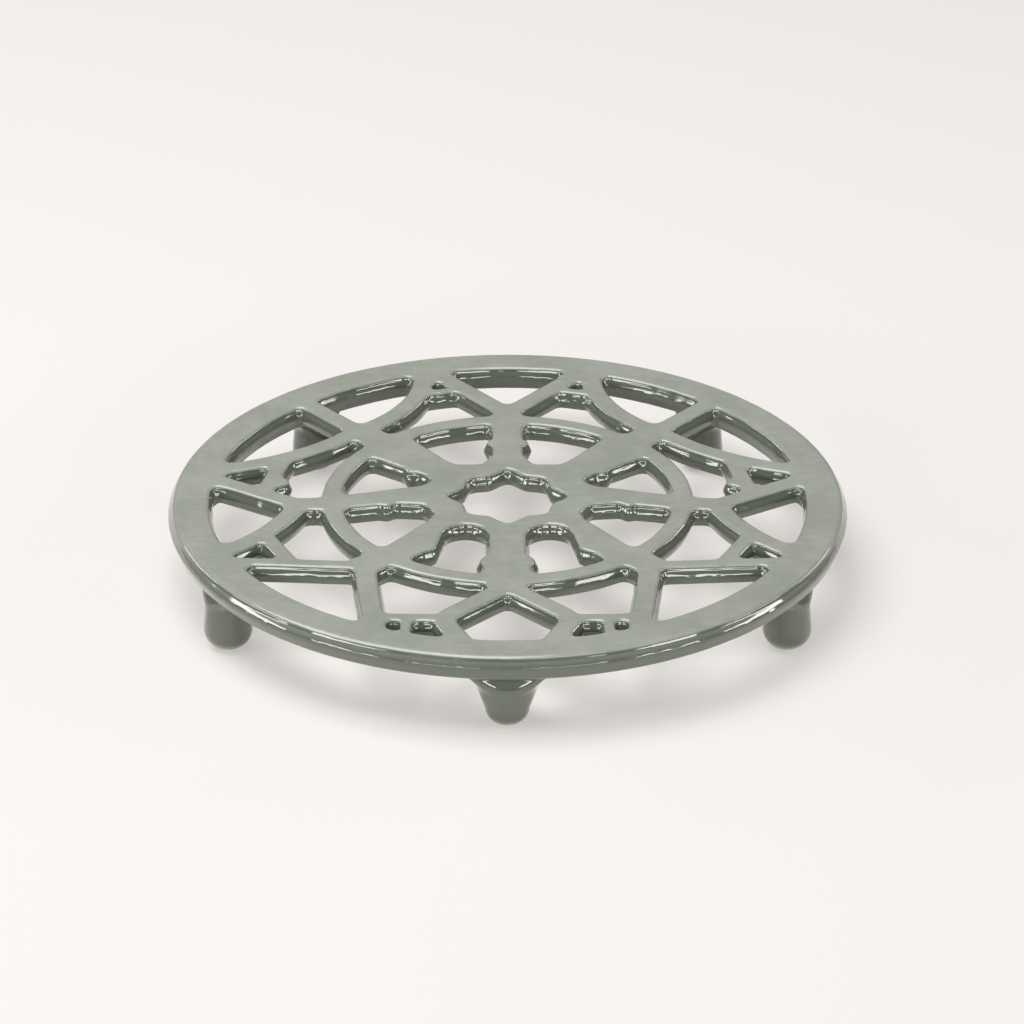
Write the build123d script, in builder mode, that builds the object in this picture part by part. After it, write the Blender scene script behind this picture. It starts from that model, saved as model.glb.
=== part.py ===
"""Round openwork trivet: one iron casting, modelled as its separate cast members.

Millimetres, +Z up. The origin is the centre of the trivet on the table plane.
The front is at -Y and the left at -X. Bearings are degrees from +X towards +Y.
The members meet face to face at their roots, with no gap and no overlap.
"""

import math
import os

from build123d import *

# Overall sizes
overall_height = 24.6
rim_radius = 101.5
rim_width = 12.5
rim_depth = 7.2
rim_top_round = 2.4
rim_bottom_round = 0.8
rim_draft_bulge = 0.5
lattice_depth = 5.8

# Edges and corners shared by every window of the lattice
top_bevel = 0.8
corner_round = 2.0
small_corner_round = 1.3
small_window_area = 90.0
seam_margin = 0.2
cut_over = 1.0

# Wheel in the middle: hub with a star window, eight spokes and a ring
hub_radius = 22.8
star_point_radius = 18.4
star_diagonal_radius = 16.6
star_corner_radius = 13.9
star_corner_round = 1.2
star_shift = 0.7
star_point_count = 8
ring_radius = 52.5
ring_width = 6.2

# Petal windows of the left half: corners of their sides, which run on past the ring
back_petal = ((-4.9, 62.0), (-4.9, 28.0), (-8.0, 22.0), (-15.5, 22.0), (-18.5, 24.6), (-40.0, 54.9))
side_back_petal = ((-54.0, 36.0), (-24.2, 13.6), (-22.9, 10.6), (-26.0, 7.6), (-62.0, -2.2))
side_front_petal = (
    (-62.0, -10.8), (-33.0, -4.4), (-25.0, -5.2), (-21.8, -10.0), (-23.2, -14.6), (-51.0, -52.0)
)
front_petal_right = ((-5.6, -25.0), (-5.6, -36.0), (-7.2, -38.8), (-7.2, -62.0))
front_petal_left = ((-45.0, -58.1), (-20.4, -31.0), (-19.3, -25.0))
front_petal_crown = (-12.4, -18.2)

# Beads that swell the spokes into the petals: place and radius
spoke_beads = ((-4.2, 36.5, 2.4), (-28.6, 18.2, 2.3), (-36.2, -4.0, 2.2))

# Bearings that part the spokes of the left half, each inside a petal
spoke_divides = (113.0, 160.0, 203.0, 243.0)

# Straps between the ring and the rim, given for the left half
strap_width = 6.8
front_strap_width = 5.2
neck_width = 8.4
broad_neck_width = 11.0

# Junctions outside the ring: height over the ring's outer edge, and bearing
back_junction = (1.8, 90.0)
corner_junction = (8.6, 135.8)
side_junction = (6.9, 184.5)
front_corner_junction = (4.9, 226.5)
front_junction = (0.9, 270.0)

# Elbow of the front strap: depth under the rim's inner edge, bearing and round
front_elbow = (10.8, 256.0)
front_elbow_round = 7.0

# Bearings at which the straps and the bar run into the rim
back_landing = 106.3
bar_landing = 134.0
side_back_landing = 169.8
side_back_lower_landing = 170.8
side_front_upper_landing = 203.7
side_front_landing = 205.4
front_outer_landing = 247.2
front_inner_landing = 263.6
front_divide = 253.0

# Bend radii of the curved straps
back_bend = 49.0
side_back_bend = 78.0
side_front_bend = 63.0

# Webs across the narrow ends: depth under the rim's inner edge, bearing, length, width and the
# bearing that they are square to
back_web = (13.4, 105.6, 14.0, 3.6, 105.6)
side_back_web = (17.1, 166.6, 21.0, 5.6, 167.0)
side_front_web = (14.0, 206.0, 16.5, 5.4, 206.0)
front_web = (8.4, 249.8, 19.0, 4.8, 268.5)
front_strut = ((7.4, 249.2), (-3.0, 251.8))
front_strut_width = 3.2

# Boss at the inner end of the side web: depth under the rim's inner edge, bearing and radius
side_boss = (19.4, 171.7)
side_boss_radius = 3.3

# Feet under the rim, given for the right half: distance of the axis from the rim's outer edge,
# and bearing
foot_places = {
    "foot_front": (9.5, 270.0),
    "foot_right": (7.2, 329.7),
    "foot_back_right": (9.5, 49.0),
}
foot_top_radius = 7.5
foot_low_radius = 6.8
foot_pad_radius = 1.8
foot_flare = 2.6

# Heights and radii that follow from the sizes above
top_z = overall_height
lattice_floor = overall_height - lattice_depth
rim_floor = overall_height - rim_depth
parting_z = overall_height - rim_depth / 2
rim_inner_radius = rim_radius - rim_width
rim_sole_radius = rim_radius - rim_draft_bulge - rim_bottom_round
ring_inner_radius = ring_radius - ring_width / 2
ring_outer_radius = ring_radius + ring_width / 2
landing_radius = rim_inner_radius + rim_width / 2
reach = rim_radius + rim_width

# Seams between members lie just clear of the window walls
rim_seam = rim_inner_radius - seam_margin
ring_inner_seam = ring_inner_radius - seam_margin
ring_outer_seam = ring_outer_radius + seam_margin
hub_seam = hub_radius + seam_margin


def polar(radius, bearing):
    """Point of the plan at a radius and a bearing."""
    turn = math.radians(bearing)
    return (radius * math.cos(turn), radius * math.sin(turn))


def over_ring(rise, bearing):
    """Point of the plan at a height over the ring's outer edge."""
    return polar(ring_outer_radius + rise, bearing)


def under_rim(drop, bearing):
    """Point of the plan at a depth under the rim's inner edge."""
    return polar(rim_inner_radius - drop, bearing)


def web_line(drop, bearing, length, square_to):
    """Centreline of a web, given by its middle and the bearing it is square to."""
    middle = Vector(*under_rim(drop, bearing))
    half = Vector(*polar(length / 2, square_to + 90.0))
    return Line(middle - half, middle + half)


# Centrelines of the eight left straps, from the ring to inside the rim
with BuildLine() as strap_1_line:
    Line(over_ring(*back_junction), polar(landing_radius, back_landing))
with BuildLine() as strap_2_line:
    RadiusArc(over_ring(*corner_junction), polar(landing_radius, back_landing), -back_bend)
with BuildLine() as strap_3_line:
    RadiusArc(over_ring(*corner_junction), polar(landing_radius, side_back_landing), side_back_bend)
with BuildLine() as strap_4_line:
    Line(over_ring(*side_junction), polar(landing_radius, side_back_lower_landing))
with BuildLine() as strap_5_line:
    RadiusArc(over_ring(*side_junction), polar(landing_radius, side_front_upper_landing), side_front_bend)
with BuildLine() as strap_6_line:
    Line(over_ring(*front_corner_junction), polar(landing_radius, side_front_landing))
with BuildLine() as strap_7_line:
    Line(over_ring(*front_corner_junction), polar(landing_radius, front_outer_landing))
with BuildLine() as strap_8_line:
    FilletPolyline(
        over_ring(*front_junction),
        under_rim(*front_elbow),
        polar(landing_radius, front_inner_landing),
        radius=front_elbow_round,
    )

strap_lines = {
    1: (strap_1_line.line, strap_width),
    2: (strap_2_line.line, strap_width),
    3: (strap_3_line.line, strap_width),
    4: (strap_4_line.line, strap_width),
    5: (strap_5_line.line, strap_width),
    6: (strap_6_line.line, front_strap_width),
    7: (strap_7_line.line, strap_width),
    8: (strap_8_line.line, strap_width),
}

# Centrelines of the four left webs, of the strut behind the front one and of the bar
web_lines = {}
for number, web in enumerate((back_web, side_back_web, side_front_web, front_web), start=1):
    drop, bearing, length, width, square_to = web
    web_lines[number] = (web_line(drop, bearing, length, square_to), width)
bar_line = Line(over_ring(*corner_junction), polar(landing_radius, bar_landing))
strut_line = Line(under_rim(*front_strut[0]), under_rim(*front_strut[1]))

# Plan of everything that stands between the ring and the rim
with BuildSketch() as tracery:
    for line, width in strap_lines.values():
        trace(line, line_width=width)
    for line, width in web_lines.values():
        trace(line, line_width=width)
    trace(strut_line, line_width=front_strut_width)
    for junction, width in (
        (back_junction, neck_width),
        (corner_junction, broad_neck_width),
        (side_junction, neck_width),
        (front_corner_junction, broad_neck_width),
        (front_junction, broad_neck_width),
    ):
        neck = Line(polar(ring_radius, junction[1]), over_ring(*junction))
        trace(neck, line_width=width)
    trace(bar_line, line_width=strap_width)
    with Locations(under_rim(*side_boss)):
        Circle(side_boss_radius)
    mirror(about=Plane.YZ)

with BuildSketch() as outer_gaps:
    Circle(rim_inner_radius)
    Circle(ring_outer_radius, mode=Mode.SUBTRACT)
    add(tracery.sketch, mode=Mode.SUBTRACT)

with BuildSketch() as large_windows:
    for face in outer_gaps.faces():
        if face.area > small_window_area:
            add(face)
    offset(amount=-corner_round)
    offset(amount=corner_round)

with BuildSketch() as small_windows:
    for face in outer_gaps.faces():
        if face.area <= small_window_area:
            add(face)
    offset(amount=-small_corner_round)
    offset(amount=small_corner_round)

# Petal windows between the spokes, trimmed by the ring
with BuildSketch() as petal_windows:
    for corners in (back_petal, side_back_petal, side_front_petal):
        with BuildLine():
            Polyline(*corners, close=True)
        make_face()
    with BuildLine():
        Polyline(*front_petal_right, *front_petal_left)
        ThreePointArc(front_petal_left[-1], front_petal_crown, front_petal_right[0])
    make_face()
    for x, y, radius in spoke_beads:
        with Locations((x, y)):
            Circle(radius, mode=Mode.SUBTRACT)
    mirror(about=Plane.YZ)
    Circle(ring_inner_radius, mode=Mode.INTERSECT)
    offset(amount=-corner_round)
    offset(amount=corner_round)

# Star window of the hub: sharp points, softened inner corners
with BuildSketch() as star_window:
    with BuildLine():
        star_points = []
        for index in range(star_point_count):
            step = 360.0 / star_point_count
            reach_out = star_diagonal_radius if index % 2 else star_point_radius
            star_points.append(polar(reach_out, index * step))
            star_points.append(polar(star_corner_radius, (index + 0.5) * step))
        Polyline(*star_points, close=True)
    make_face()
    inner_corners = star_window.vertices().filter_by(
        lambda vertex: math.hypot(vertex.X, vertex.Y) < star_corner_radius + seam_margin
    )
    fillet(inner_corners, star_corner_round)

# The whole casting: a stepped disc with a drafted rim, pierced by the windows
with BuildPart() as casting:
    with BuildSketch(Plane.XZ) as plate_profile:
        with BuildLine():
            Polyline(
                (0, lattice_floor),
                (rim_seam, lattice_floor),
                (rim_seam, rim_floor),
                (rim_radius - rim_draft_bulge, rim_floor),
                (rim_radius, parting_z),
                (rim_radius - rim_draft_bulge, top_z),
                (0, top_z),
                close=True,
            )
        make_face()
        rim_corners = plate_profile.vertices().filter_by(lambda vertex: vertex.X > rim_inner_radius)
        fillet(rim_corners.sort_by(Axis.Y)[-1], rim_top_round)
        rim_corners = plate_profile.vertices().filter_by(lambda vertex: vertex.X > rim_inner_radius)
        fillet(rim_corners.sort_by(Axis.Y)[0], rim_bottom_round)
    revolve(axis=Axis.Z)
    with BuildSketch(Plane.XY.offset(rim_floor - cut_over)) as windows:
        add(large_windows.sketch)
        add(small_windows.sketch)
        add(petal_windows.sketch)
        with Locations((0, star_shift)):
            add(star_window.sketch)
    extrude(amount=rim_depth + 2 * cut_over, mode=Mode.SUBTRACT)
    top_face = casting.faces().sort_by(Axis.Z)[-1]
    window_edges = [edge for wire in top_face.inner_wires() for edge in wire.edges()]
    chamfer(window_edges, top_bevel)


def cast_member(stock, region):
    """The piece of a casting that stands on a region of the plan."""
    with BuildPart() as member:
        with BuildSketch(Plane.XY.offset(rim_floor - cut_over)):
            add(region)
        extrude(amount=rim_depth + 2 * cut_over)
        add(stock, mode=Mode.INTERSECT)
    return member.part


def band(inner, outer):
    """Plan of an annulus."""
    with BuildSketch() as ring_plan:
        Circle(outer)
        Circle(inner, mode=Mode.SUBTRACT)
    return ring_plan.sketch


def sector(inner, outer, start, end):
    """Plan of the part of an annulus between two bearings."""
    with BuildSketch() as sector_plan:
        add(band(inner, outer))
        with BuildLine():
            Polyline(
                (0, 0),
                polar(reach, start),
                polar(reach, (start + end) / 2),
                polar(reach, end),
                close=True,
            )
        make_face(mode=Mode.INTERSECT)
    return sector_plan.sketch


members = {}
with BuildPart() as rim:
    add(casting.part)
    with BuildSketch(Plane.XY.offset(rim_floor - cut_over)):
        Circle(rim_seam)
    extrude(amount=rim_depth + 2 * cut_over, mode=Mode.SUBTRACT)
members["rim"] = rim.part

with BuildPart() as hub_star:
    with BuildSketch(Plane.XY.offset(rim_floor - cut_over)):
        Circle(hub_seam)
    extrude(amount=rim_depth + 2 * cut_over)
    add(casting.part, mode=Mode.INTERSECT)
members["hub_star"] = hub_star.part

members["inner_ring"] = cast_member(casting.part, band(ring_inner_seam, ring_outer_seam))
wheel = cast_member(casting.part, band(hub_seam, ring_inner_seam))
field = cast_member(casting.part, band(ring_outer_seam, rim_seam))

right_divides = [180.0 - bearing for bearing in reversed(spoke_divides)]
spoke_bounds = [*right_divides, *spoke_divides, right_divides[0] + 360.0]
spoke_names = (
    "spoke_front_right",
    "spoke_right",
    "spoke_back_right",
    "spoke_back",
    "spoke_back_left",
    "spoke_left",
    "spoke_front_left",
    "spoke_front",
)
for name, start, end in zip(spoke_names, spoke_bounds, spoke_bounds[1:]):
    members[name] = cast_member(wheel, sector(hub_seam, ring_inner_seam, start, end))

# Plans of the left webs, a little into their straps, and of the left cross bar
web_plans = {}
for number, (line, width) in web_lines.items():
    with BuildSketch() as web_plan:
        trace(line, line_width=width + small_corner_round)
        if number == 2:
            with Locations(under_rim(*side_boss)):
                Circle(side_boss_radius + corner_round)
        if number == 4:
            trace(strut_line, line_width=front_strut_width + 2 * small_corner_round + seam_margin)
        for strap_line, strap_size in strap_lines.values():
            trace(strap_line, line_width=strap_size - 2 * seam_margin, mode=Mode.SUBTRACT)
    web_plans[number] = web_plan.sketch
with BuildSketch() as bar_plan:
    trace(
        Line(polar(ring_radius, corner_junction[1]), over_ring(*corner_junction)),
        line_width=broad_neck_width + 2 * corner_round,
    )
    trace(bar_line, line_width=broad_neck_width + 2 * corner_round)
    add(band(ring_outer_seam, rim_seam), mode=Mode.INTERSECT)

divides = (
    back_junction[1],
    back_landing,
    corner_junction[1],
    (side_back_landing + side_back_lower_landing) / 2,
    side_junction[1],
    side_front_landing,
    front_corner_junction[1],
    front_divide,
    front_junction[1],
)
left_members = {}
for number in strap_lines:
    with BuildSketch() as strap_plan:
        add(sector(ring_outer_seam, rim_seam, divides[number - 1], divides[number]))
        add(bar_plan.sketch, mode=Mode.SUBTRACT)
        for web_plan in web_plans.values():
            add(web_plan, mode=Mode.SUBTRACT)
    left_members["strap_left_" + str(number)] = cast_member(field, strap_plan.sketch)
for number, web_plan in web_plans.items():
    left_members["web_left_" + str(number)] = cast_member(field, web_plan)
left_members["bar_left"] = cast_member(field, bar_plan.sketch)
for name, member in left_members.items():
    members[name] = member
    members[name.replace("left", "right")] = mirror(member, about=Plane.YZ)

# Feet: turned pegs that flare into the underside of the rim and slope back from its inner wall
for name, (inset, bearing) in foot_places.items():
    foot_circle = rim_radius - inset
    outward = polar(1, bearing)
    upright = Plane((0, 0, 0), x_dir=(*outward, 0), z_dir=(outward[1], -outward[0], 0))
    pad = (foot_circle + foot_pad_radius, 0)
    low = (foot_circle + foot_low_radius, foot_low_radius - foot_pad_radius)
    high = (foot_circle + foot_top_radius, rim_floor - foot_flare)
    lip = (foot_circle + foot_top_radius + foot_flare, rim_floor)
    shoulder_inner = foot_circle - foot_top_radius - 2 * foot_flare
    shoulder_fall = rim_inner_radius - shoulder_inner
    with BuildPart() as foot:
        with BuildSketch(upright):
            with BuildLine():
                Polyline(lip, (foot_circle, rim_floor), (foot_circle, 0), pad)
                RadiusArc(pad, low, -(foot_low_radius - foot_pad_radius))
                Line(low, high)
                RadiusArc(high, lip, foot_flare)
            make_face()
        revolve(axis=Axis((*polar(foot_circle, bearing), 0), (0, 0, 1)))
        with BuildSketch(Plane.XY):
            Circle(rim_sole_radius)
        extrude(amount=overall_height, mode=Mode.INTERSECT)
        with BuildSketch(upright):
            with BuildLine():
                Polyline(
                    (rim_inner_radius, rim_floor),
                    (shoulder_inner, rim_floor - shoulder_fall),
                    (shoulder_inner, rim_floor),
                    close=True,
                )
            make_face()
        revolve(axis=Axis.Z, mode=Mode.SUBTRACT)
    members[name] = foot.part
    if "right" in name:
        members[name.replace("right", "left")] = mirror(foot.part, about=Plane.YZ)

os.makedirs("parts", exist_ok=True)
for name, member in members.items():
    member.label = name
    export_step(member, "parts/" + name + ".step")
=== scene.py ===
"""Enamelled openwork trivet: one cast skin over the members, its glossy enamel and a pale studio.

Metres, +Z up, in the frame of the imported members. The front of the trivet is at -Y.
"""

import math

import bmesh
import bpy
from bpy.props import FloatProperty, FloatVectorProperty, PointerProperty
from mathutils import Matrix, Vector, noise
from mathutils.bvhtree import BVHTree


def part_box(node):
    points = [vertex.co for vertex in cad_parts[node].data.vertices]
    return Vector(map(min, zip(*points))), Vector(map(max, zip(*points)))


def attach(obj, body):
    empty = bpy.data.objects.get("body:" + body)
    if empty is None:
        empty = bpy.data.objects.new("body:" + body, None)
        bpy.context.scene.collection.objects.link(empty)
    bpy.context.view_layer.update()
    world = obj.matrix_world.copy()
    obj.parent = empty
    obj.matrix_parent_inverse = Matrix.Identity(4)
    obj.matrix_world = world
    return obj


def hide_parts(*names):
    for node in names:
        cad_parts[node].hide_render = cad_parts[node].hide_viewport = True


bl_info = {
    "name": "Enamelled openwork trivet",
    "version": (1, 0, 0),
    "blender": (4, 5, 0),
    "location": "View3D > Sidebar > Trivet",
    "description": "Casts the trivet's enamelled skin over its members and sets the studio",
    "category": "Object",
}

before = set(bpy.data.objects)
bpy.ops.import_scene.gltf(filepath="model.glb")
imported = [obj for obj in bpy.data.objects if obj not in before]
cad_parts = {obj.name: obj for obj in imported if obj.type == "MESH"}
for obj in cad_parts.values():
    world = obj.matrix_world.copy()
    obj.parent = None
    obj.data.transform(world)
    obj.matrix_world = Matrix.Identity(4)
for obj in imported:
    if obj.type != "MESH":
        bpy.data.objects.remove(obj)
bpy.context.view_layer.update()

rim_low, rim_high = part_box("rim")
lattice_low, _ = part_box("inner_ring")

# Reading the outlines off the members: distances in metres, and rounds of smoothing
MEMBER_MERGE = 0.000002
CUT_TOLERANCE = 0.0000005
CUT_MERGE = 0.00001
SEAM_PROBE = 0.00012
OUTLINE_MERGE = 0.0002
OUTLINE_ROUNDS = 6
SMOOTH_FACTOR = 0.5

# Finding the directions of the walls and the room behind them
TREE_RISE = 0.001
SKEW_HEADING = Vector((0.8137, 0.5813, 0.0))
MOST_CROSSINGS = 60
PAST_HIT = 0.000002
WALL_PROBE = 0.0001
NORMAL_ROUNDS = 4
ROOM_PROBE = 0.00015
OPEN_ROOM = 0.05
ROOM_ROUNDS = 6

# Profile of the walls: steps in each part, ledge beside the round, and shares
TOP_STEPS = 5
LOW_STEPS = 3
TOP_SHOULDER = 0.0003
LOW_SHOULDER = 0.0002
CORNER_SHARE = 0.85
DRAFT_POWER = 1.25
ROOM_SHARE = 0.86

# Beads of the front spokes on the right half of the plan, and how wide they swell
FRONT_BEADS = ((0.0222, -0.0332), (0.0072, -0.0412))
BEAD_WIDTH = 0.0024

# Rim: depth of its outer side, step to the lattice underneath, and band of its rounds
RIM_SIDE = 0.002
RIM_STEP_START = 0.002
RIM_STEP_WIDTH = 0.0025
RIM_BAND = 1.3

# Waves of the enamel: where a wall counts as steep, the quicker waves, and the rim's share
STEEP_GAIN = 1.2
STEEP_LEAST = 0.05
QUICK_LENGTH = 0.4
QUICK_SHARE = 0.3
RIM_WAVE_SHARE = 0.5
WAVER_LENGTH = 0.0016

# Feet: steps of the section, fillet, limits under the rim, and smoothing from each height up
FOOT_SEGMENTS = 64
FOOT_MERGE = 0.00001
END_STEPS = 8
TAPER_STEPS = 12
FILLET_STEPS = 12
FILLET_POWER = 1.6
FOOT_SINK = 0.0015
FOOT_INSET = 0.001
OUTER_SLOPE = 0.5
INNER_SLOPE = 0.9
RIM_MARGIN = 0.0002
ROOT_MARGIN = 0.0002
FOOT_ZONES = ((0.0015, 3), (0.009, 6))
TABLE_TOLERANCE = 0.00001

# Enamel: roughness of the walls, what the flats and flecks add, and the clear coat on the walls
WALL_ROUGHNESS = 0.07
FLAT_ROUGHNESS = 0.27
FLECK_ROUGHNESS = 0.05
COAT_WEIGHT = 0.6

# Studio
FLOOR_REACH = 6.0
LAMP_AIM = (0.0, 0.0, 0.02)
STRIP_BEARINGS = (-118.0, -85.0, -51.0, -18.0, 18.0, 51.0, 85.0, 118.0)
STRIP_DISTANCE = 1.5
STRIP_HEIGHT = 0.4
SENSOR_WIDTH = 36.0
CAMERA_SHIFT = (0.0043, -0.0159)


class TrivetCasting(bpy.types.PropertyGroup):
    """Sizes of the cast skin and the colours of its enamel."""

    spacing: FloatProperty(
        name="Spacing",
        description="Longest step along the outlines of the windows",
        default=0.0011,
        min=0.0003,
        unit="LENGTH",
    )
    parting_height: FloatProperty(
        name="Parting height",
        description="Height of the line where the two halves of the mould met",
        default=0.0213,
        unit="LENGTH",
    )
    parting_waver: FloatProperty(
        name="Parting waver",
        description="How far the parting line strays up and down",
        default=0.0005,
        unit="LENGTH",
    )
    top_round: FloatProperty(
        name="Top round",
        description="How far the top edges draw in from the parting line",
        default=0.0022,
        unit="LENGTH",
    )
    low_round: FloatProperty(
        name="Low round",
        description="How far the lower edges draw in from the parting line",
        default=0.0014,
        unit="LENGTH",
    )
    rim_round: FloatProperty(
        name="Rim round",
        description="How much wider the rounds are on the outer side of the rim",
        default=1.35,
        min=1.0,
    )
    top_draft: FloatProperty(
        name="Top draft",
        description="How far the walls lean back between the parting line and the top round",
        default=0.0009,
        unit="LENGTH",
    )
    low_draft: FloatProperty(
        name="Low draft",
        description="How far the walls lean back between the parting line and the lower round",
        default=0.0007,
        unit="LENGTH",
    )
    squareness: FloatProperty(
        name="Squareness",
        description="Shape of the rounds: 2 is an ellipse, more is squarer",
        default=2.0,
        min=1.0,
    )
    foot_pad: FloatProperty(
        name="Foot pad",
        description="Radius of the flat on which a foot stands",
        default=0.0018,
        unit="LENGTH",
    )
    foot_low: FloatProperty(
        name="Front foot end",
        description="Radius of the front foot above its rounded end",
        default=0.0065,
        unit="LENGTH",
    )
    foot_top: FloatProperty(
        name="Front foot top",
        description="Radius of the front foot below its flare",
        default=0.0085,
        unit="LENGTH",
    )
    foot_flare: FloatProperty(
        name="Front foot flare",
        description="Height of the fillet between the front foot and the underside of the rim",
        default=0.0070,
        unit="LENGTH",
    )
    foot_spread: FloatProperty(
        name="Front foot spread",
        description="How far the fillet of the front foot spreads along the underside of the rim",
        default=0.0048,
        unit="LENGTH",
    )
    plain_foot_low: FloatProperty(
        name="Plain foot end",
        description="Radius of the other feet above their rounded ends",
        default=0.0072,
        unit="LENGTH",
    )
    plain_foot_top: FloatProperty(
        name="Plain foot top",
        description="Radius of the other feet below their flares",
        default=0.0066,
        unit="LENGTH",
    )
    plain_foot_flare: FloatProperty(
        name="Plain foot flare",
        description="Height of the fillets between the other feet and the underside of the rim",
        default=0.0036,
        unit="LENGTH",
    )
    plain_foot_spread: FloatProperty(
        name="Plain foot spread",
        description="How far the fillets of the other feet spread along the underside of the rim",
        default=0.0024,
        unit="LENGTH",
    )
    draft_bulge: FloatProperty(
        name="Draft bulge",
        description="How far the walls swell to the parting line at mid-depth",
        default=0.0008,
        unit="LENGTH",
    )
    bead_swell: FloatProperty(
        name="Bead swell",
        description="How far the beads of the front spokes swell into their petals",
        default=0.0012,
        unit="LENGTH",
    )
    wave_height: FloatProperty(
        name="Wave height",
        description="Depth of the slow waves that the enamel leaves on the walls",
        default=0.00011,
        unit="LENGTH",
    )
    wave_length: FloatProperty(
        name="Wave length",
        description="Distance between the waves on the walls",
        default=0.006,
        unit="LENGTH",
    )
    enamel_colour: FloatVectorProperty(
        name="Enamel",
        description="Sage grey-green of the enamel",
        subtype="COLOR",
        size=4,
        default=(0.325, 0.345, 0.290, 1.0),
        min=0.0,
        max=1.0,
    )
    # Painted shade: the steep walls take this darker colour in place of the enamel's sage, for the shade
    # that falls on them.
    enamel_wall_shade: FloatVectorProperty(
        name="Painted wall shade",
        description="Colour on the walls, where the enamel runs thin over its dark ground coat",
        subtype="COLOR",
        size=4,
        default=(0.115, 0.133, 0.096, 1.0),
        min=0.0,
        max=1.0,
    )
    enamel_pale: FloatVectorProperty(
        name="Pale enamel",
        description="Colour where the enamel lies thick",
        subtype="COLOR",
        size=4,
        default=(0.402, 0.420, 0.364, 1.0),
        min=0.0,
        max=1.0,
    )


class TrivetStage(bpy.types.PropertyGroup):
    """Look of the floor and the place of the camera."""

    floor_colour: FloatVectorProperty(
        name="Floor",
        description="Warm white of the floor and the backdrop",
        subtype="COLOR",
        size=4,
        default=(0.93, 0.896, 0.871, 1.0),
        min=0.0,
        max=1.0,
    )
    floor_plain: FloatProperty(
        name="Plain floor",
        description="Share of the floor that the camera sees without the lamps' shadows",
        default=0.42,
        min=0.0,
        max=1.0,
    )
    camera_elevation: FloatProperty(
        name="Camera elevation",
        description="Height of the camera over the top of the trivet, as an angle",
        default=math.radians(26.925),
        subtype="ANGLE",
    )
    camera_distance: FloatProperty(
        name="Camera distance",
        description="Distance from the camera to the centre of the top",
        default=1.391,
        unit="LENGTH",
    )
    camera_lens: FloatProperty(
        name="Lens",
        description="Focal length of the camera in millimetres, on a sensor 36 mm wide",
        default=163.6,
    )


class Shade:
    """An output of a shader node. Arithmetic on it adds Math nodes."""

    def __init__(self, graph, output):
        self.graph = graph
        self.output = output

    def maths(self, operation, first, second):
        return self.graph.node("ShaderNodeMath", {"operation": operation}, {0: first, 1: second})

    def __add__(self, other):
        return self.maths("ADD", self, other)

    def __radd__(self, other):
        return self.maths("ADD", other, self)

    def __sub__(self, other):
        return self.maths("SUBTRACT", self, other)

    def __rsub__(self, other):
        return self.maths("SUBTRACT", other, self)

    def __mul__(self, other):
        return self.maths("MULTIPLY", self, other)

    def __rmul__(self, other):
        return self.maths("MULTIPLY", other, self)


class Graph:
    """A node tree, with one method that adds a node, sets it and links it."""

    def __init__(self, tree):
        self.tree = tree
        tree.nodes.clear()

    def node(self, kind, settings=None, sockets=None, output=0):
        added = self.tree.nodes.new(kind)
        for name, value in (settings or {}).items():
            setattr(added, name, value)
        for key, value in (sockets or {}).items():
            if isinstance(value, Shade):
                self.tree.links.new(value.output, added.inputs[key])
            else:
                added.inputs[key].default_value = value
        if not added.outputs:
            return None
        return Shade(self, added.outputs[output])

    def blend(self, factor, first, second):
        """A colour between two colours."""
        return self.node(
            "ShaderNodeMix",
            {"data_type": "RGBA", "clamp_factor": True},
            {0: factor, 6: first, 7: second},
            output=2,
        )

    def grain(self, where, scale, detail, roughness):
        """Soft noise between 0 and 1, with its scale in waves for each metre."""
        return self.node(
            "ShaderNodeTexNoise",
            {"noise_dimensions": "3D"},
            {"Vector": where, "Scale": scale, "Detail": detail, "Roughness": roughness},
        )

    def span(self, value, low, high):
        """A value brought from low..high to 0..1 with soft ends."""
        return self.node(
            "ShaderNodeMapRange",
            {"interpolation_type": "SMOOTHSTEP", "clamp": True},
            {"Value": value, "From Min": low, "From Max": high, "To Min": 0.0, "To Max": 1.0},
        )


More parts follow.
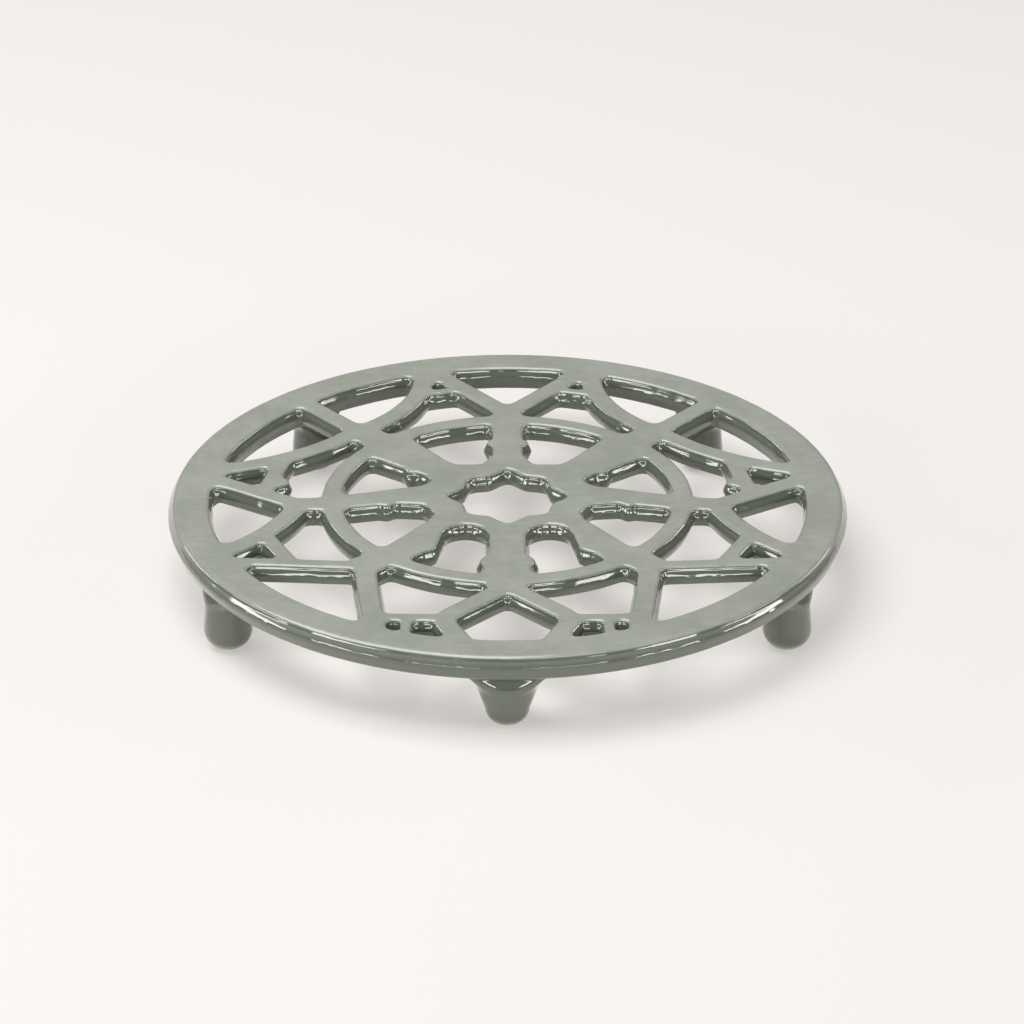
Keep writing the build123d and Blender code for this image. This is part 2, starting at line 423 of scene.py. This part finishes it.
def enamel_finish(look):
    """Porcelain enamel over iron: cloudy colour, glossy walls coloured darker as painted shade, satin
    flats and slow ripples.
    """
    finish = bpy.data.materials.new("sage_enamel_coat")
    finish.use_nodes = True
    graph = Graph(finish.node_tree)
    where = graph.node("ShaderNodeTexCoord", output="Object")
    clouds = graph.grain(where, scale=42.0, detail=3.0, roughness=0.55)
    flecks = graph.grain(where, scale=310.0, detail=2.0, roughness=0.6)
    ripples = graph.grain(where, scale=165.0, detail=1.0, roughness=0.4)
    pits = graph.grain(where, scale=900.0, detail=2.0, roughness=0.6)
    drawn_out = graph.node("ShaderNodeMapping", None, {"Vector": where, "Scale": (0.3, 1.0, 1.0)})
    streaks = graph.grain(drawn_out, scale=620.0, detail=3.0, roughness=0.6)
    cloudy = graph.span(clouds * 0.5 + flecks * 0.25 + streaks * 0.25, low=0.36, high=0.64)
    level = graph.node("ShaderNodeAttribute", {"attribute_name": "level"}, output="Fac")
    # Painted shade: the steeper the surface, the more it takes the darker wall colour, for the shade on
    # the walls.
    walls = graph.span(level, low=0.85, high=0.35)
    flat = graph.span(level, low=0.9, high=0.995)
    thick = graph.blend(cloudy, tuple(look.enamel_colour), tuple(look.enamel_pale))
    colour = graph.blend(walls, thick, tuple(look.enamel_wall_shade))
    fleck_dull = graph.span(flecks, low=0.45, high=0.8) * FLECK_ROUGHNESS
    gloss = WALL_ROUGHNESS + flat * FLAT_ROUGHNESS + fleck_dull
    relief = ripples * 0.5 + (streaks * 0.10 + pits * 0.05) * flat
    bump = graph.node(
        "ShaderNodeBump", None, {"Strength": 0.35, "Distance": 0.0006, "Height": relief}
    )
    shader = graph.node(
        "ShaderNodeBsdfPrincipled",
        None,
        {
            "Base Color": colour,
            "Roughness": gloss,
            "Normal": bump,
            "IOR": 1.6,
            "Coat Weight": COAT_WEIGHT - flat * COAT_WEIGHT,
            "Coat Roughness": 0.05,
        },
    )
    graph.node("ShaderNodeOutputMaterial", None, {"Surface": shader})
    return finish


def floor_finish(look):
    """Warm white floor, of which the camera and the gloss see a share plain and the rest lit."""
    finish = bpy.data.materials.new("studio_floor")
    finish.use_nodes = True
    graph = Graph(finish.node_tree)
    lit = graph.node(
        "ShaderNodeBsdfDiffuse", None, {"Color": tuple(look.floor_colour), "Roughness": 0.0}
    )
    plain = graph.node(
        "ShaderNodeEmission", None, {"Color": tuple(look.floor_colour), "Strength": 1.0}
    )
    seen = graph.node("ShaderNodeLightPath", output="Is Camera Ray")
    mirrored = graph.node("ShaderNodeLightPath", output="Is Glossy Ray")
    through = graph.node("ShaderNodeLightPath", output="Is Transmission Ray")
    share = (seen + mirrored + through) * look.floor_plain
    shader = graph.node("ShaderNodeMixShader", None, {0: share, 1: lit, 2: plain})
    graph.node("ShaderNodeOutputMaterial", None, {"Surface": shader})
    return finish


def placed(name, shape):
    """An object of a finished bmesh, smooth all over, at the origin."""
    mesh = bpy.data.meshes.new(name)
    shape.to_mesh(mesh)
    shape.free()
    mesh.polygons.foreach_set("use_smooth", [True] * len(mesh.polygons))
    piece = bpy.data.objects.new(name, mesh)
    bpy.context.scene.collection.objects.link(piece)
    return piece


def mark_level(piece):
    """Keep on the piece how level its surface is: 1 on flat faces, 0 on upright walls."""
    mesh = piece.data
    level = mesh.attributes.new("level", "FLOAT", "POINT")
    level.data.foreach_set("value", [abs(facing.vector.z) for facing in mesh.vertex_normals])


def off_axis(spot):
    """Level distance of a point from the upright axis of the trivet."""
    return Vector((spot.x, spot.y, 0.0)).length


def covered(tree, x, y):
    """Whether a member of the lattice lies over a point of the plan."""
    spot, _, _, _ = tree.ray_cast(Vector((x, y, 1.0)), Vector((0.0, 0.0, -1.0)))
    return spot is not None


def sliced_members(height):
    """Edges where a level plane cuts the members of the plate, and a search tree of the members."""
    plan = bmesh.new()
    for name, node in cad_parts.items():
        if not name.startswith("foot"):
            plan.from_mesh(node.data)
    bmesh.ops.remove_doubles(plan, verts=plan.verts, dist=MEMBER_MERGE)
    tree = BVHTree.FromBMesh(plan)
    bmesh.ops.bisect_plane(
        plan,
        geom=plan.verts[:] + plan.edges[:] + plan.faces[:],
        dist=CUT_TOLERANCE,
        plane_co=(0.0, 0.0, height),
        plane_no=(0.0, 0.0, 1.0),
        clear_inner=True,
        clear_outer=True,
    )
    bmesh.ops.remove_doubles(plan, verts=plan.verts, dist=CUT_MERGE)
    return plan, tree


def drop_seams(plan, tree):
    """Take away the edges that have a member on both sides or on neither."""
    seams = []
    for edge in plan.edges:
        first, second = (vert.co for vert in edge.verts)
        middle = (first + second) / 2
        along = (second - first).normalized()
        across = Vector((along.y, -along.x, 0.0)) * SEAM_PROBE
        left = covered(tree, middle.x + across.x, middle.y + across.y)
        right = covered(tree, middle.x - across.x, middle.y - across.y)
        if left == right:
            seams.append(edge)
    bmesh.ops.delete(plan, geom=seams, context="EDGES")
    bmesh.ops.remove_doubles(plan, verts=plan.verts, dist=OUTLINE_MERGE)


def prune_spurs(plan):
    """Take away edges that end in the open, until only closed loops are left."""
    spurs = [vert for vert in plan.verts if len(vert.link_edges) < 2]
    while spurs:
        bmesh.ops.delete(plan, geom=spurs, context="VERTS")
        spurs = [vert for vert in plan.verts if len(vert.link_edges) < 2]


def bridge_from(fork, edge):
    """Edges from a fork of the outlines, along one of its ways, to the next fork."""
    path = [edge]
    here = edge.other_vert(fork)
    while len(here.link_edges) == 2:
        edge = next(other for other in here.link_edges if other is not edge)
        path.append(edge)
        here = edge.other_vert(here)
    return path


def path_length(path):
    """Length of a run of edges."""
    return sum(edge.calc_length() for edge in path)


def cut_bridges(plan):
    """Take away the shortest way out of each fork, until the outlines have no forks."""
    forks = [vert for vert in plan.verts if len(vert.link_edges) > 2]
    while forks:
        bridges = [bridge_from(forks[0], edge) for edge in forks[0].link_edges]
        bmesh.ops.delete(plan, geom=min(bridges, key=path_length), context="EDGES")
        prune_spurs(plan)
        forks = [vert for vert in plan.verts if len(vert.link_edges) > 2]


def step_outlines(plan, spacing):
    """Divide the outlines into short steps and smooth them."""
    by_cuts = {}
    for edge in plan.edges:
        cuts = int(edge.calc_length() / spacing)
        by_cuts.setdefault(cuts, []).append(edge)
    for cuts, edges in by_cuts.items():
        if cuts:
            bmesh.ops.subdivide_edges(plan, edges=edges, cuts=cuts)
    for _ in range(OUTLINE_ROUNDS):
        bmesh.ops.smooth_vert(
            plan, verts=plan.verts, factor=SMOOTH_FACTOR, use_axis_x=True, use_axis_y=True
        )


def lattice_outline(height, spacing):
    """Outlines of the windows and of the rim at a height, as closed loops of edges."""
    plan, tree = sliced_members(height)
    drop_seams(plan, tree)
    prune_spurs(plan)
    cut_bridges(plan)
    step_outlines(plan, spacing)
    loose = [vert for vert in plan.verts if len(vert.link_edges) != 2]
    if loose:
        raise RuntimeError("the outline of the lattice is open at %d points" % len(loose))
    return plan


def wall_tree(plan):
    """Search tree of short upright walls on the outlines."""
    points = []
    quads = []
    for edge in plan.edges:
        start = len(points)
        first, second = (vert.co for vert in edge.verts)
        corners = ((first, -TREE_RISE), (second, -TREE_RISE), (second, TREE_RISE), (first, TREE_RISE))
        for spot, rise in corners:
            points.append((spot.x, spot.y, spot.z + rise))
        quads.append((start, start + 1, start + 2, start + 3))
    return BVHTree.FromPolygons(points, quads)


def crossings(tree, spot):
    """How many outlines lie between a point and the far side, odd inside the casting."""
    count = 0
    here = Vector(spot)
    while count < MOST_CROSSINGS:
        hit, _, _, _ = tree.ray_cast(here, SKEW_HEADING)
        if hit is None:
            return count
        count += 1
        here = hit + SKEW_HEADING * PAST_HIT
    return count


def wall_normals(plan, tree):
    """Level directions out of the casting at the points of the outlines, evened along them."""
    normals = {}
    for vert in plan.verts:
        first, second = (edge.other_vert(vert).co for edge in vert.link_edges)
        along = (second - first).normalized()
        across = Vector((along.y, -along.x, 0.0))
        probe = vert.co + across * WALL_PROBE
        if crossings(tree, probe) % 2:
            across = -across
        normals[vert] = across
    for _ in range(NORMAL_ROUNDS):
        evened = {}
        for vert in plan.verts:
            near = [normals[edge.other_vert(vert)] for edge in vert.link_edges]
            evened[vert] = (normals[vert] * 2 + near[0] + near[1]).normalized()
        normals = evened
    return normals


def room_inside(plan, normals, tree):
    """Half the thickness of the casting behind each point of the outlines, evened along them."""
    room = {}
    for vert in plan.verts:
        inward = -normals[vert]
        hit, _, _, gap = tree.ray_cast(vert.co + inward * ROOM_PROBE, inward)
        room[vert] = OPEN_ROOM if hit is None else gap / 2
    for _ in range(ROOM_ROUNDS):
        evened = {}
        for vert in plan.verts:
            near = [room[edge.other_vert(vert)] for edge in vert.link_edges]
            evened[vert] = min(room[vert], (room[vert] * 2 + near[0] + near[1]) / 4)
        room = evened
    return room


def bead_share(spot):
    """Share of the swelling of the front beads at a point of the outlines, alike on both sides."""
    share = 0.0
    for x, y in FRONT_BEADS:
        apart = Vector((abs(spot.x) - x, spot.y - y)).length
        share += math.exp(-((apart / BEAD_WIDTH) ** 2))
    return share


def drafted_profile(reach, draft, rise, squareness, steps, shoulder):
    """Steps in and away from the parting line: a drafted wall, a rounded corner and a flat ledge."""
    power = 2.0 / squareness
    corner = (reach - draft) * CORNER_SHARE
    wall = rise - math.copysign(corner, rise)
    profile = []
    for step in range(1, steps + 1):
        share = step / steps
        profile.append((draft * share ** DRAFT_POWER, wall * share))
    for step in range(1, steps + 1):
        turn = math.pi / 2 * step / steps
        inward = draft + (reach - draft) * (1.0 - max(math.cos(turn), 0.0) ** power)
        profile.append((inward, wall + (rise - wall) * math.sin(turn) ** power))
    profile.append((reach + shoulder, rise))
    return profile


def drawn(plate, edges, ways, profile, swell):
    """Draw outlines out into a rounded wall, step by step, and close it with a level face."""
    starts = {vert: vert.co.copy() for edge in edges for vert in edge.verts}
    furthest = profile[-1][0]
    roots = {vert: vert for vert in starts}
    for inward, rise in profile:
        grown = bmesh.ops.extrude_edge_only(plate, edges=edges)["geom"]
        fresh = [item for item in grown if isinstance(item, bmesh.types.BMVert)]
        edges = [item for item in grown if isinstance(item, bmesh.types.BMEdge)]
        rooted = {}
        for vert in fresh:
            before = next(
                edge.other_vert(vert) for edge in vert.link_edges if edge.other_vert(vert) in roots
            )
            root = roots[before]
            direction, room = ways[root]
            share = min(1.0, ROOM_SHARE * (room + swell) / furthest)
            vert.co = starts[root] - direction * inward * share
            vert.co.z = starts[root].z + rise
            rooted[vert] = root
        roots = rooted
    bmesh.ops.triangle_fill(
        plate, use_beauty=True, use_dissolve=False, edges=edges, normal=(0.0, 0.0, 1.0)
    )


def rim_seam():
    """Radius at which the rim meets the lattice."""
    return min(off_axis(vert.co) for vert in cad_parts["rim"].data.vertices)


def deepen_rim(plate, parting):
    """Carry the underside of the rim deeper than the lattice, with a soft step between them."""
    inner = rim_seam()
    deeper = (parting - rim_low.z) / (parting - lattice_low.z)
    for vert in plate.verts:
        if vert.co.z < parting:
            reach = off_axis(vert.co)
            share = min(max((reach - inner + RIM_STEP_START) / RIM_STEP_WIDTH, 0.0), 1.0)
            share = share * share * (3.0 - 2.0 * share)
            vert.co.z = parting - (parting - vert.co.z) * (1.0 + share * (deeper - 1.0))


def round_rim(plate, look):
    """Widen the rounds on the outer side of the rim."""
    width = look.top_round * RIM_BAND
    for vert in plate.verts:
        reach = off_axis(vert.co)
        depth = rim_high.x - reach
        if 0.0 < depth < width:
            scale = (rim_high.x - depth * look.rim_round) / reach
            vert.co.x *= scale
            vert.co.y *= scale


def wave_walls(plate, look):
    """Give the walls the slow waves that thick enamel leaves, and none to the flat faces."""
    plate.normal_update()
    limit = rim_high.x
    for vert in plate.verts:
        side = Vector((vert.normal.x, vert.normal.y, 0.0))
        steep = min(side.length * STEEP_GAIN, 1.0)
        if steep > STEEP_LEAST:
            slow = noise.noise(vert.co / look.wave_length)
            quick = noise.noise(vert.co / (look.wave_length * QUICK_LENGTH))
            wave = (slow + QUICK_SHARE * quick) * look.wave_height * steep
            reach = off_axis(vert.co)
            if reach > limit - RIM_SIDE:
                wave = min(wave * RIM_WAVE_SHARE, limit - reach)
            vert.co += side.normalized() * wave


class TRIVET_OT_casting(bpy.types.Operator):
    """Cast the enamelled rim and lattice as one skin over their members"""

    bl_idname = "trivet.casting"
    bl_label = "Enamelled casting"

    def execute(self, context):
        look = context.scene.trivet_casting
        parting = look.parting_height
        plate = lattice_outline(parting, look.spacing)
        tree = wall_tree(plate)
        normals = wall_normals(plate, tree)
        room = room_inside(plate, normals, tree)
        ways = {vert: (normals[vert], room[vert]) for vert in plate.verts}
        for vert in plate.verts:
            if off_axis(vert.co) < rim_high.x - RIM_SIDE:
                swell = bead_share(vert.co) * look.bead_swell
                vert.co += normals[vert] * (look.draft_bulge + swell)
        outlines = plate.edges[:]
        top_rise = rim_high.z - parting
        top = drafted_profile(
            look.top_round, look.top_draft, top_rise, look.squareness, TOP_STEPS, TOP_SHOULDER
        )
        low_rise = lattice_low.z - parting
        low = drafted_profile(
            look.low_round, look.low_draft, low_rise, look.squareness, LOW_STEPS, LOW_SHOULDER
        )
        drawn(plate, outlines, ways, top, look.draft_bulge)
        drawn(plate, outlines, ways, low, look.draft_bulge)
        deepen_rim(plate, parting)
        round_rim(plate, look)
        bmesh.ops.recalc_face_normals(plate, faces=plate.faces[:])
        wave_walls(plate, look)
        for vert in ways:
            vert.co.z += noise.noise(vert.co / WAVER_LENGTH) * look.parting_waver
        piece = placed("enamelled_casting", plate)
        mark_level(piece)
        piece.data.materials.append(enamel_finish(look))
        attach(piece, "root")
        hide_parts(*(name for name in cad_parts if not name.startswith("foot")))
        return {"FINISHED"}


def foot_axis(name):
    """Middle of a foot's flat end on the table."""
    points = [vert.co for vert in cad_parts[name].data.vertices]
    ends = [spot for spot in points if spot.z < TABLE_TOLERANCE]
    return sum(ends, Vector()) / len(ends)


def foot_profile(pad, top, radii, fillet):
    """Half section of a foot: round end, taper and a fillet up into the rim."""
    low_radius, top_radius = radii
    flare, spread = fillet
    points = [(0.0, 0.0)]
    end_round = low_radius - pad
    for step in range(END_STEPS + 1):
        turn = math.pi / 2 * step / END_STEPS
        reach = pad + end_round * math.sin(turn)
        points.append((reach, end_round * (1.0 - math.cos(turn))))
    high = top - flare
    for step in range(1, TAPER_STEPS):
        share = step / TAPER_STEPS
        reach = low_radius + (top_radius - low_radius) * share
        points.append((reach, end_round + (high - end_round) * share))
    for step in range(FILLET_STEPS + 1):
        share = step / FILLET_STEPS
        points.append((top_radius + spread * share ** FILLET_POWER, high + flare * share))
    edge = points[-1][0]
    points.append((edge, top + FOOT_SINK))
    points.append((0.0, top + FOOT_SINK))
    return points


def turned(points):
    """A half section turned into a closed shape about the upright axis."""
    shape = bmesh.new()
    verts = [shape.verts.new((reach, 0.0, height)) for reach, height in points]
    edges = [shape.edges.new(pair) for pair in zip(verts, verts[1:])]
    bmesh.ops.spin(
        shape,
        geom=verts + edges,
        cent=(0.0, 0.0, 0.0),
        axis=(0.0, 0.0, 1.0),
        angle=2 * math.pi,
        steps=FOOT_SEGMENTS,
        use_merge=True,
    )
    bmesh.ops.remove_doubles(shape, verts=shape.verts, dist=FOOT_MERGE)
    bmesh.ops.recalc_face_normals(shape, faces=shape.faces[:])
    return shape


def under_rim(spot, sole, inner):
    """A point of a foot, kept under the rim where the foot runs into it."""
    drop = max(rim_low.z - spot.z, 0.0)
    reach = off_axis(spot)
    outer_limit = min(sole + drop * OUTER_SLOPE, rim_high.x - RIM_MARGIN)
    inner_limit = inner - drop * INNER_SLOPE
    kept = min(max(reach, inner_limit), outer_limit)
    return Vector((spot.x * kept / reach, spot.y * kept / reach, spot.z))


def soften(foot):
    """Smooth a foot below the rim, its neck more than its end."""
    for start, rounds in FOOT_ZONES:
        soft = [vert for vert in foot.verts if start < vert.co.z < rim_low.z - ROOT_MARGIN]
        for _ in range(rounds):
            bmesh.ops.smooth_vert(
                foot, verts=soft, factor=SMOOTH_FACTOR, use_axis_x=True, use_axis_y=True, use_axis_z=True
            )


class TRIVET_OT_feet(bpy.types.Operator):
    """Turn the five feet, each flared into the underside of the rim"""

    bl_idname = "trivet.feet"
    bl_label = "Feet"

    def execute(self, context):
        look = context.scene.trivet_casting
        finish = bpy.data.materials["sage_enamel_coat"]
        sole = rim_high.x - look.low_round * look.rim_round
        inner = rim_seam() + FOOT_INSET
        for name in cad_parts:
            if not name.startswith("foot"):
                continue
            _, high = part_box(name)
            centre = foot_axis(name)
            if name == "foot_front":
                radii = (look.foot_low, look.foot_top)
                fillet = (look.foot_flare, look.foot_spread)
            else:
                radii = (look.plain_foot_low, look.plain_foot_top)
                fillet = (look.plain_foot_flare, look.plain_foot_spread)
            foot = turned(foot_profile(look.foot_pad, high.z, radii, fillet))
            bmesh.ops.translate(foot, verts=foot.verts, vec=(centre.x, centre.y, 0.0))
            for vert in foot.verts:
                vert.co = under_rim(vert.co, sole, inner)
            soften(foot)
            piece = placed("enamelled_" + name, foot)
            mark_level(piece)
            piece.data.materials.append(finish)
            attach(piece, "root")
            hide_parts(name)
        return {"FINISHED"}


def softbox(name, place, width, height, power):
    """A flat lamp that points at the middle of the trivet."""
    lamp = bpy.data.lights.new(name, "AREA")
    lamp.shape = "RECTANGLE"
    lamp.size = width
    lamp.size_y = height
    lamp.energy = power
    holder = bpy.data.objects.new(name, lamp)
    holder.location = place
    holder.rotation_euler = (Vector(LAMP_AIM) - Vector(place)).to_track_quat("-Z", "Y").to_euler()
    bpy.context.scene.collection.objects.link(holder)


def light_world(scene):
    """Fill the studio with even white light."""
    world = bpy.data.worlds.new("studio")
    scene.world = world
    world.use_nodes = True
    graph = Graph(world.node_tree)
    sky = graph.node("ShaderNodeBackground", None, {"Color": (1.0, 1.0, 1.0, 1.0), "Strength": 0.14})
    graph.node("ShaderNodeOutputWorld", None, {"Surface": sky})


def hang_lamps():
    """A large lamp overhead, a narrow one for the edges, and strips round the front and sides."""
    softbox("key_softbox", place=(-0.38, 0.06, 1.2), width=1.0, height=1.0, power=11.8)
    softbox("edge_softbox", place=(0.1, -0.55, 1.4), width=0.9, height=0.09, power=2.2)
    for number, bearing in enumerate(STRIP_BEARINGS, start=1):
        turn = math.radians(bearing)
        place = (STRIP_DISTANCE * math.sin(turn), -STRIP_DISTANCE * math.cos(turn), STRIP_HEIGHT)
        softbox("strip_softbox_%d" % number, place=place, width=0.62, height=0.15, power=2.6)


def set_camera(scene, look):
    """A long lens at the front, aimed at the middle of the top."""
    target = Vector((0.0, 0.0, rim_high.z))
    tilt = look.camera_elevation
    place = target + look.camera_distance * Vector((0.0, -math.cos(tilt), math.sin(tilt)))
    lens = bpy.data.cameras.new("camera")
    lens.sensor_width = SENSOR_WIDTH
    lens.lens = look.camera_lens
    lens.shift_x, lens.shift_y = CAMERA_SHIFT
    camera = bpy.data.objects.new("camera", lens)
    camera.location = place
    camera.rotation_euler = (target - place).to_track_quat("-Z", "Y").to_euler()
    scene.collection.objects.link(camera)
    scene.camera = camera


class TRIVET_OT_stage(bpy.types.Operator):
    """Lay the floor, hang the lamps and set the camera"""

    bl_idname = "trivet.stage"
    bl_label = "Studio"

    def execute(self, context):
        look = context.scene.trivet_stage
        scene = context.scene
        scene.view_settings.view_transform = "Standard"
        ground = bmesh.new()
        bmesh.ops.create_grid(ground, x_segments=1, y_segments=1, size=FLOOR_REACH)
        floor = placed("studio_floor", ground)
        floor.data.materials.append(floor_finish(look))
        light_world(scene)
        hang_lamps()
        set_camera(scene, look)
        return {"FINISHED"}


class TRIVET_PT_panel(bpy.types.Panel):
    """The trivet's pieces and its stage"""

    bl_idname = "TRIVET_PT_panel"
    bl_label = "Trivet"
    bl_space_type = "VIEW_3D"
    bl_region_type = "UI"
    bl_category = "Trivet"

    def draw(self, context):
        layout = self.layout
        layout.operator(TRIVET_OT_casting.bl_idname)
        layout.operator(TRIVET_OT_feet.bl_idname)
        for name in TrivetCasting.__annotations__:
            layout.prop(context.scene.trivet_casting, name)
        layout.operator(TRIVET_OT_stage.bl_idname)
        for name in TrivetStage.__annotations__:
            layout.prop(context.scene.trivet_stage, name)


classes = (
    TrivetCasting,
    TrivetStage,
    TRIVET_OT_casting,
    TRIVET_OT_feet,
    TRIVET_OT_stage,
    TRIVET_PT_panel,
)


def register():
    for cls in classes:
        bpy.utils.register_class(cls)
    bpy.types.Scene.trivet_casting = PointerProperty(type=TrivetCasting)
    bpy.types.Scene.trivet_stage = PointerProperty(type=TrivetStage)


def unregister():
    del bpy.types.Scene.trivet_stage
    del bpy.types.Scene.trivet_casting
    for cls in reversed(classes):
        bpy.utils.unregister_class(cls)


def main():
    register()
    bpy.ops.trivet.casting()
    bpy.ops.trivet.feet()
    bpy.ops.trivet.stage()


if __name__ == "__main__":
    main()
